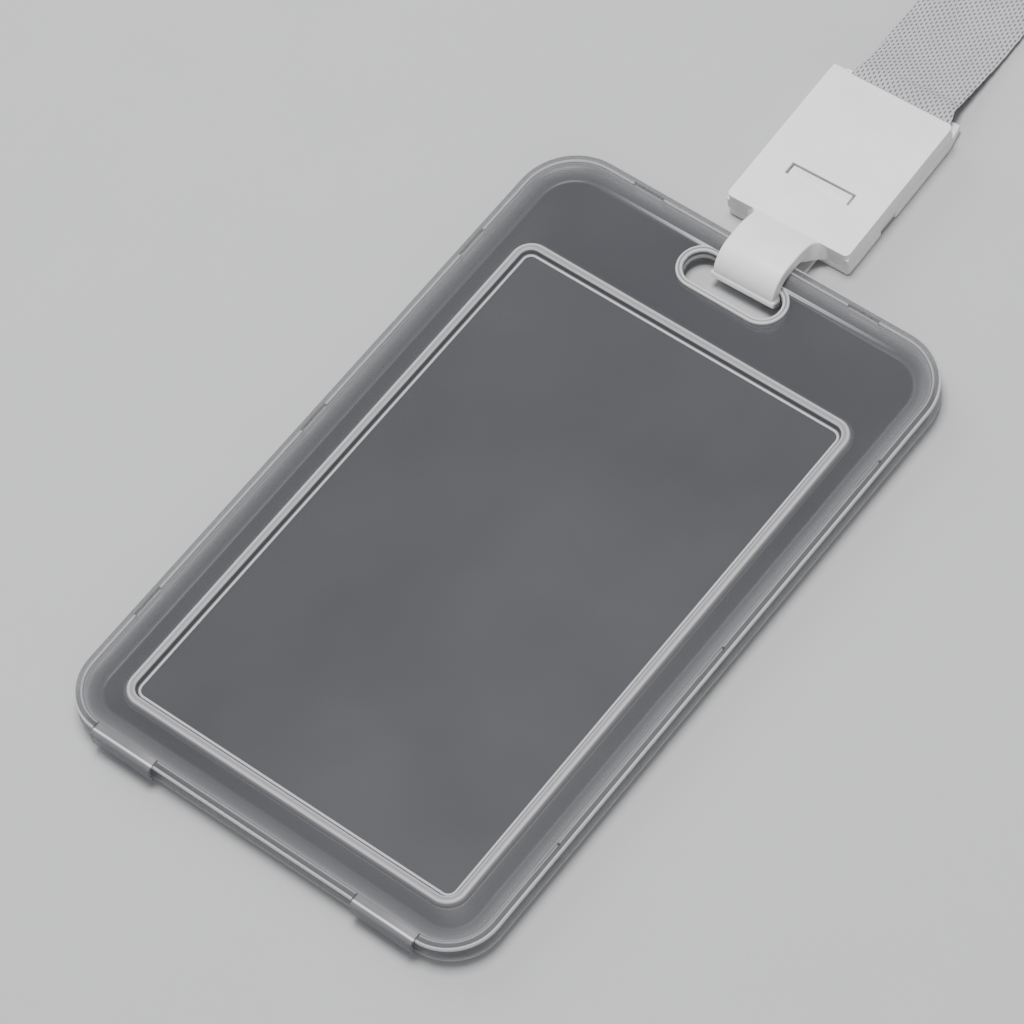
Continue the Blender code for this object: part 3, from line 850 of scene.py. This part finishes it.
def leg_line(leg):
    """A leg's (v, z) points from inside the clip to where it starts to turn."""
    points = []
    for (v0, z0), (v1, z1) in zip(leg, leg[1:]):
        steps = max(2, round((v1 - v0) / 0.5))
        for i in range(steps):
            t = i / steps
            points.append((v0 + (v1 - v0) * t, z0 + (z1 - z0) * t))
    for _ in range(3):
        zs = [z for _, z in points]
        points = [points[0]] + [
            (points[i][0], (zs[i - 1] + 2 * zs[i] + zs[i + 1]) / 4) for i in range(1, len(points) - 1)
        ] + [points[-1]]
    return points


def spaced(points, step):
    """The route again with its points a fixed step apart."""
    total, at = 0.0, [0.0]
    for (a, _), (b, _) in zip(points, points[1:]):
        total += (b - a).length
        at.append(total)
    count, out, k = round(total / step), [], 0
    for i in range(count + 1):
        target = total * i / count
        while k < len(at) - 2 and at[k + 1] < target:
            k += 1
        t = (target - at[k]) / max(at[k + 1] - at[k], 1e-9)
        (a, across_a), (b, across_b) = points[k], points[k + 1]
        out.append((a.lerp(b, t), across_a.lerp(across_b, t).normalized(), target))
    return out


def make_ribbon(material):
    """A woven tape with a slightly ragged edge. Its upper leg is wider at the clip, with a crease across it."""
    route = spaced(ribbon_points(), RING_STEP)
    us = [2 * i / (COLUMNS - 1) - 1 for i in range(COLUMNS)]
    bm = bmesh.new()
    place = bm.verts.layers.float_vector.new("ribbon")
    rings = []
    total = route[-1][2]
    for i, (middle, across, along) in enumerate(route):
        after, before = route[min(i + 1, len(route) - 1)][0], route[max(i - 1, 0)][0]
        forward = (after - before).normalized()
        normal = across.cross(forward).normalized()
        out = min(along, total - along) - MOUTH_ALONG
        upper = along > total / 2
        flare = math.exp(-(max(out, 0.0) / FLARE_RUN) ** 2)
        flat = 1.0 - smooth((out - FLAT_OUT) / FLAT_RUN)
        spread = smooth((out - 2.0) / 12.0) * flat
        right = 0.2 * flat + 0.15 * spread + 0.9 * flare if upper else 0.0
        left = 0.5 * spread + 0.4 * flare if upper else 0.0
        ragged = 0.05 * math.sin(along * 2.9) * math.sin(along * 0.83) + 0.03 * math.sin(along * 7.1)
        ring = []
        for side in (1, -1):
            for u in us[1:-1] if side > 0 else us[::-1]:
                edge = RIBBON_W / 2 - 0.1 + (ragged + right if u > 0 else left - 0.7 * ragged)
                thick = 0.0 if abs(u) > 0.999 else RIBBON_T / 2 * side
                wave = 0.1 * math.sin(out * 0.55 + 1.5 * u) * math.exp(-((out - 6.0) / 6.0) ** 2)
                if upper:
                    crease = math.exp(-((out - CREASE_OUT - 0.4 * u) / CREASE_RUN) ** 2)
                    wave -= CREASE_DEEP * (0.65 + 0.35 * u) * crease
                vert = bm.verts.new(middle + across * u * edge + normal * thick + Vector((0.0, 0.0, wave)))
                vert[place] = (u * edge, along, 0.0)
                ring.append(vert)
        rings.append(ring)
    for low, high in zip(rings, rings[1:]):
        for k in range(len(low)):
            j = (k + 1) % len(low)
            bm.faces.new((low[k], low[j], high[j], high[k]))
    bm.faces.new(rings[0][::-1])
    bm.faces.new(rings[-1])
    bm.transform(Matrix.Scale(MM, 4) @ CLIP_FRAME)
    bmesh.ops.recalc_face_normals(bm, faces=bm.faces)
    mesh = bpy.data.meshes.new("ribbon")
    bm.to_mesh(mesh)
    bm.free()
    mesh.materials.append(material)
    ribbon = bpy.data.objects.new("ribbon", mesh)
    bpy.context.scene.collection.objects.link(ribbon)
    finish_shading(ribbon, 60.0)
    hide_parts("lanyard_lower_leg", "lanyard_upper_leg", "lanyard_twist", "lanyard_coil")
    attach(ribbon, "clip_rear")


# ---------------------------------------------------------------- the scene

add_camera()
make_ribbon(woven_ribbon())
frosted = frosted_plastic("frosted_plastic")
stressed = frosted_plastic("hinge_plastic", 0.24)
white = white_plastic()
make_rear_cover(frosted)
make_front_cover(frosted)
make_hinges(stressed)
make_front_plate(white)
make_rear_plate(white)
make_arms(white)
add_studio(floor_paper())
